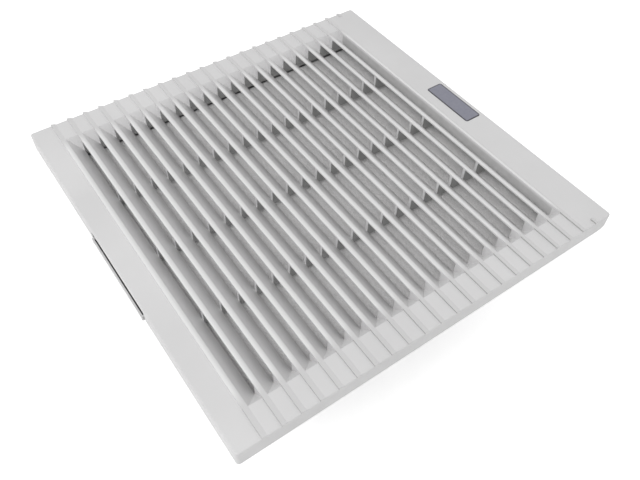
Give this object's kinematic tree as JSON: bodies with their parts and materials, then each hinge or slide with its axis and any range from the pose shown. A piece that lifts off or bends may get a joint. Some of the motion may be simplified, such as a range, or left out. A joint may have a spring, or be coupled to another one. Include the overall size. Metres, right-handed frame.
{
  "type": "enclosure filter fan",
  "caption": "Square light grey filter fan for an enclosure panel, with a hinged louvred grille, filter mat, axial fan, wire guard and a terminal box at the back",
  "frame": {"origin": "middle of the panel cut-out, in the plane of the panel's outer face", "axes": "+X from the latch side to the hinge side, +Y along the louvres, +Z out of the panel"},
  "size_m": [0.3245, 0.323, 0.1195],
  "materials": {
    "frame_grey": "light grey moulded plastic, fine matt grain",
    "badge_grey": "blue-grey printed film, smooth",
    "grip_rubber": "dark soft rubber, matt",
    "pin_steel": "ground steel, bright",
    "seal_foam": "foamed black rubber, matt",
    "filter_fleece": "off-white fibre fleece",
    "screw_zinc": "zinc-plated steel",
    "fan_cast": "die-cast, black lacquer",
    "motor_cast": "die-cast, bare",
    "core_steel": "stacked sheet steel",
    "winding_copper": "enamelled copper wire",
    "bearing_steel": "ground and polished bearing steel",
    "bell_black": "deep-drawn steel, black paint",
    "impeller_black": "glass-filled black plastic",
    "guard_chrome": "plated steel wire",
    "terminal_grey": "dark grey moulded plastic",
    "block_natural": "natural polyamide",
    "capacitor_white": "white plastic can",
    "gland_grey": "mid-grey moulded plastic",
    "lead_black": "black sheathed lead"
  },
  "bodies": {
    "housing": {"hinge_pins": "pin_steel", "mounting_frame": "frame_grey", "panel_seal": "seal_foam", "filter_grid": "frame_grey", "grid_screws": "screw_zinc", "filter_mat": "filter_fleece", "fan_housing": "fan_cast", "fan_screws": "screw_zinc", "motor_base": "motor_cast", "motor_screws": "screw_zinc", "stator_core": "core_steel", "stator_coils": "winding_copper", "front_bearing": "bearing_steel", "rear_bearing": "bearing_steel", "finger_guard": "guard_chrome", "guard_screws": "screw_zinc", "terminal_box": "terminal_grey", "terminal_cover": "terminal_grey", "cover_screws": "screw_zinc", "box_screws": "screw_zinc", "terminal_block": "block_natural", "terminal_screws": "screw_zinc", "run_capacitor": "capacitor_white", "gland_body": "gland_grey", "gland_seal": "grip_rubber", "gland_nut": "gland_grey", "gland_locknut": "gland_grey", "motor_lead": "lead_black"},
    "grille": {"louvre_grille": "frame_grey", "badge_plate": "badge_grey", "latch_pins": "pin_steel"},
    "latch": {"latch_lever": "frame_grey", "latch_grip_pad": "grip_rubber"},
    "rotor": {"rotor_bell": "bell_black", "rotor_cage": "core_steel", "rotor_shaft": "pin_steel", "shaft_circlip": "core_steel", "impeller": "impeller_black"}
  },
  "joints": [
    {"name": "grille_swing", "type": "hinge", "parent": "housing", "child": "grille", "pos_m": [0.154, 0, 0.008], "axis": [0, 1, 0], "range_deg": [0, 60]},
    {"name": "latch_release", "type": "hinge", "parent": "grille", "child": "latch", "pos_m": [-0.1515, 0, 0.0084], "axis": [0, 1, 0], "range_deg": [0, 12], "stiffness_Nm_per_rad": 0.05},
    {"name": "fan_spin", "type": "hinge", "parent": "housing", "child": "rotor", "pos_m": [0, 0, -0.0665], "axis": [0, 0, 1], "continuous": true}
  ]
}
